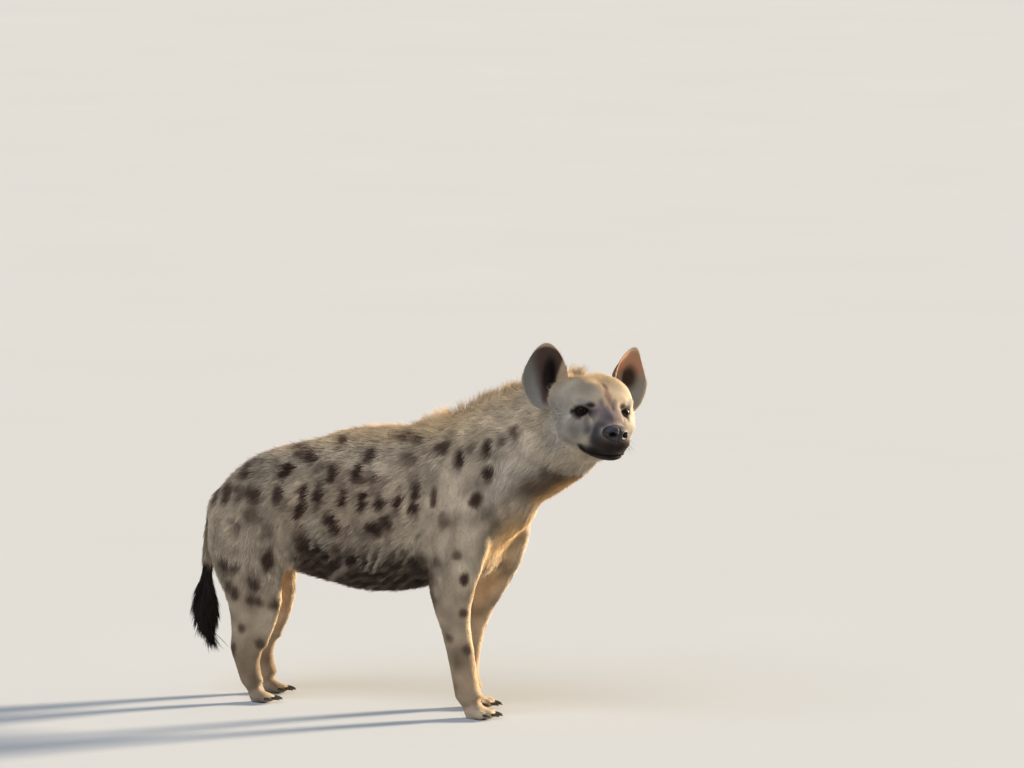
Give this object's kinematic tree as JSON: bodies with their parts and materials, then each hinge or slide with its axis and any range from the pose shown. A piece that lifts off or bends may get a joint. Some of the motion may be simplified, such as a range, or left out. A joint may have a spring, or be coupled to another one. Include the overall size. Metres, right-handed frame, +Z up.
{
  "type": "spotted hyena",
  "caption": "Life-size still model of a young adult spotted hyena standing with its head turned to its right, tail hanging, in a shaggy spotted coat.",
  "frame": {"origin": "on the floor, under the middle of the animal's outline seen from above", "axes": "+X forward along the trunk, +Y to the animal's left, +Z up"},
  "size_m": [1.296, 0.3344, 0.9473],
  "materials": {
    "coat": "shaggy grey-tan hair with dark brown spots",
    "dark_coat": "dark brown to black hair",
    "bare_skin": "bare, pebbled and slightly moist dark skin",
    "eye": "wet gloss, dark brown iris",
    "claw": "worn dark horn"
  },
  "bodies": {
    "root": {"head": "coat", "lower_jaw": "dark_coat", "nose": "bare_skin", "eye_left": "eye", "eye_right": "eye", "ear_left": "coat", "ear_right": "coat", "neck": "coat", "chest": "coat", "belly": "dark_coat", "rump": "coat", "tail": "coat", "tail_tuft": "dark_coat", "foreleg_left_upper": "coat", "foreleg_left_lower": "coat", "foreleg_left_paw": "coat", "hindleg_left_thigh": "coat", "hindleg_left_shank": "coat", "hindleg_left_foot": "coat", "foreleg_left_claw_1": "claw", "foreleg_left_claw_2": "claw", "foreleg_left_claw_3": "claw", "foreleg_left_claw_4": "claw", "hindleg_left_claw_1": "claw", "hindleg_left_claw_2": "claw", "hindleg_left_claw_3": "claw", "hindleg_left_claw_4": "claw", "foreleg_right_upper": "coat", "foreleg_right_lower": "coat", "foreleg_right_paw": "coat", "hindleg_right_thigh": "coat", "hindleg_right_shank": "coat", "hindleg_right_foot": "coat", "foreleg_right_claw_1": "claw", "foreleg_right_claw_2": "claw", "foreleg_right_claw_3": "claw", "foreleg_right_claw_4": "claw", "hindleg_right_claw_1": "claw", "hindleg_right_claw_2": "claw", "hindleg_right_claw_3": "claw", "hindleg_right_claw_4": "claw"}
  },
  "joints": []
}
